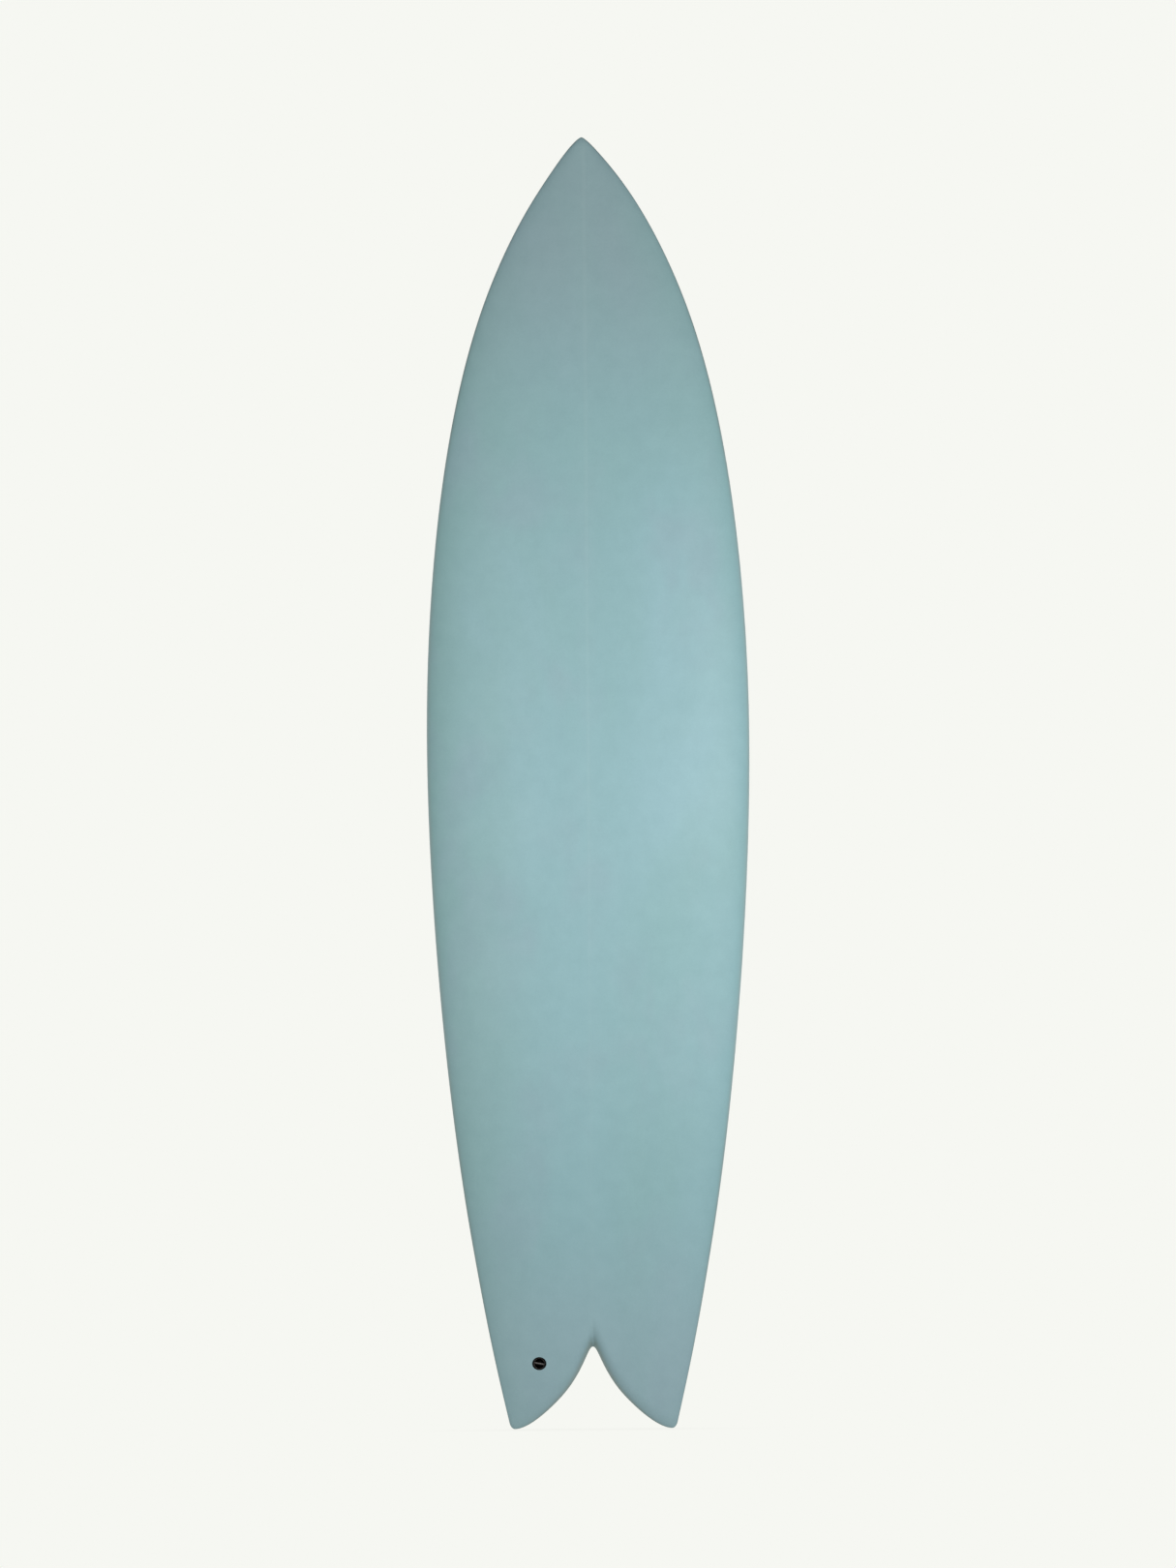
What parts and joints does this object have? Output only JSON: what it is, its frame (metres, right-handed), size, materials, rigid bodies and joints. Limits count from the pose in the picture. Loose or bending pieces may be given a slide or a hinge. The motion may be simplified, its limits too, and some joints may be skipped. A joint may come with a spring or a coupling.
{
  "type": "surfboard",
  "caption": "Swallow-tail fish surfboard: glassed foam blank with a stringer, a leash plug on the left tail lobe and removable keel fins in plugs.",
  "frame": {"origin": "centre of the footprint: on the stringer's centre plane, at the height of both tail tips, midway between the deck side of the nose and the keel tips", "axes": "+X to the right as the deck is viewed with the nose up, +Y out of the bottom towards the keels (the deck faces -Y), +Z from the tail tips to the nose"},
  "size_m": [0.5334, 0.2144, 2.1336],
  "materials": {
    "blank_foam": "shaped closed-cell foam, matt off-white",
    "stringer_wood": "raw pale wood",
    "tinted_glass_deck": "sanded satin, dusty teal tint",
    "tinted_glass_bottom": "sanded satin, dusty teal tint",
    "patch_cloth": "woven cloth wetted out in resin",
    "leash_plastic": "satin black",
    "leash_steel": "brushed",
    "plug_plastic": "satin white",
    "keel_base": "sanded laminate",
    "keel_wood": "laminated wood under clear resin",
    "screw_steel": "plain stainless"
  },
  "bodies": {
    "board": {"foam_blank_left": "blank_foam", "foam_blank_right": "blank_foam", "stringer": "stringer_wood", "deck_glass": "tinted_glass_deck", "bottom_glass": "tinted_glass_bottom", "deck_patch": "patch_cloth", "leash_plug_cup": "leash_plastic", "leash_plug_bar": "leash_steel", "fin_plug_left_front": "plug_plastic", "fin_plug_left_rear": "plug_plastic", "fin_plug_right_front": "plug_plastic", "fin_plug_right_rear": "plug_plastic"},
    "keel_left": {"keel_base_left": "keel_base", "keel_blade_left": "keel_wood"},
    "keel_right": {"keel_base_right": "keel_base", "keel_blade_right": "keel_wood"},
    "grub_left_front": {"grub_screw_left_front": "screw_steel"},
    "grub_left_rear": {"grub_screw_left_rear": "screw_steel"},
    "grub_right_front": {"grub_screw_right_front": "screw_steel"},
    "grub_right_rear": {"grub_screw_right_rear": "screw_steel"}
  },
  "joints": [
    {"name": "keel_left_lift", "type": "slide", "parent": "board", "child": "keel_left", "axis": [-0.1045, 0.9913, -0.0798], "range_m": [0, 0.06]},
    {"name": "keel_right_lift", "type": "slide", "parent": "board", "child": "keel_right", "axis": [0.1045, 0.9913, -0.0798], "range_m": [0, 0.06]},
    {"name": "grub_left_front_back_out", "type": "slide", "parent": "board", "child": "grub_left_front", "axis": [0.4066, 0.9095, -0.0863], "range_m": [0, 0.008]},
    {"name": "grub_left_rear_back_out", "type": "slide", "parent": "board", "child": "grub_left_rear", "axis": [0.4066, 0.9095, -0.0863], "range_m": [0, 0.008]},
    {"name": "grub_right_front_back_out", "type": "slide", "parent": "board", "child": "grub_right_front", "axis": [-0.4066, 0.9095, -0.0863], "range_m": [0, 0.008]},
    {"name": "grub_right_rear_back_out", "type": "slide", "parent": "board", "child": "grub_right_rear", "axis": [-0.4066, 0.9095, -0.0863], "range_m": [0, 0.008]}
  ]
}
